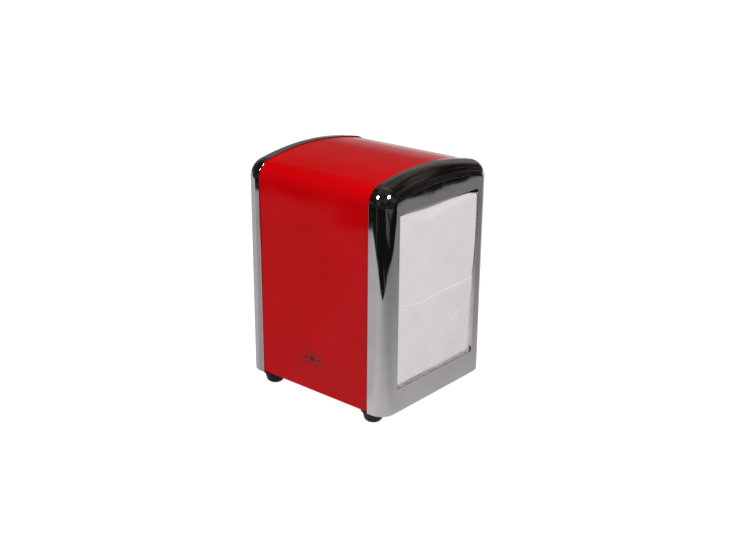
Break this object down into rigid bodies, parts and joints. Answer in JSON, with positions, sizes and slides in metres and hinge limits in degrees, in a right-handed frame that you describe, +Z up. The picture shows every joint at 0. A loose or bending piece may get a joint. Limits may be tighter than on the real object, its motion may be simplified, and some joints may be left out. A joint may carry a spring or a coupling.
{
  "type": "table-top napkin dispenser",
  "caption": "Two-sided table-top napkin dispenser: red domed steel shell on rubber feet, a chrome windowed face plate on each end, spring-driven followers pressing napkin packs outward.",
  "frame": {"origin": "on the table, under the middle of the dispenser", "axes": "+Z up, -Y out of the front window, +X to the right as seen by someone who faces the front window"},
  "size_m": [0.09, 0.101, 0.136],
  "materials": {
    "red_paint": "gloss paint",
    "chrome": "bright polished",
    "zinc_steel": "bright zinc",
    "spring_steel": "drawn wire",
    "black_rubber": "satin",
    "tissue": "soft tissue"
  },
  "bodies": {
    "housing": {"body_shell": "red_paint", "base_plate": "zinc_steel", "centre_partition": "zinc_steel", "foot_front_left": "black_rubber", "foot_front_right": "black_rubber", "foot_rear_left": "black_rubber", "foot_rear_right": "black_rubber", "front_follower_spring": "spring_steel", "rear_follower_spring": "spring_steel", "front_napkin_pack": "tissue", "front_top_napkin": "tissue", "rear_napkin_pack": "tissue", "rear_top_napkin": "tissue"},
    "front_cover": {"front_face_plate": "chrome", "front_clip_left": "spring_steel", "front_clip_right": "spring_steel"},
    "front_follower": {"front_follower_plate": "zinc_steel", "front_spring_washer": "zinc_steel", "front_spring_rivet": "zinc_steel"},
    "rear_cover": {"rear_face_plate": "chrome", "rear_clip_left": "spring_steel", "rear_clip_right": "spring_steel"},
    "rear_follower": {"rear_follower_plate": "zinc_steel", "rear_spring_washer": "zinc_steel", "rear_spring_rivet": "zinc_steel"}
  },
  "joints": [
    {"name": "front_cover_pull", "type": "slide", "parent": "housing", "child": "front_cover", "axis": [0, -1, 0], "range_m": [0, 0.04]},
    {"name": "front_follower_slide", "type": "slide", "parent": "housing", "child": "front_follower", "axis": [0, -1, 0], "range_m": [0, 0.036], "stiffness_N_per_m": 60, "springref_m": 0.055, "deforming": ["front_follower_spring", "front_napkin_pack"]},
    {"name": "rear_cover_pull", "type": "slide", "parent": "housing", "child": "rear_cover", "axis": [0, 1, 0], "range_m": [0, 0.04]},
    {"name": "rear_follower_slide", "type": "slide", "parent": "housing", "child": "rear_follower", "axis": [0, 1, 0], "range_m": [0, 0.036], "stiffness_N_per_m": 60, "springref_m": 0.055, "deforming": ["rear_follower_spring", "rear_napkin_pack"]}
  ]
}
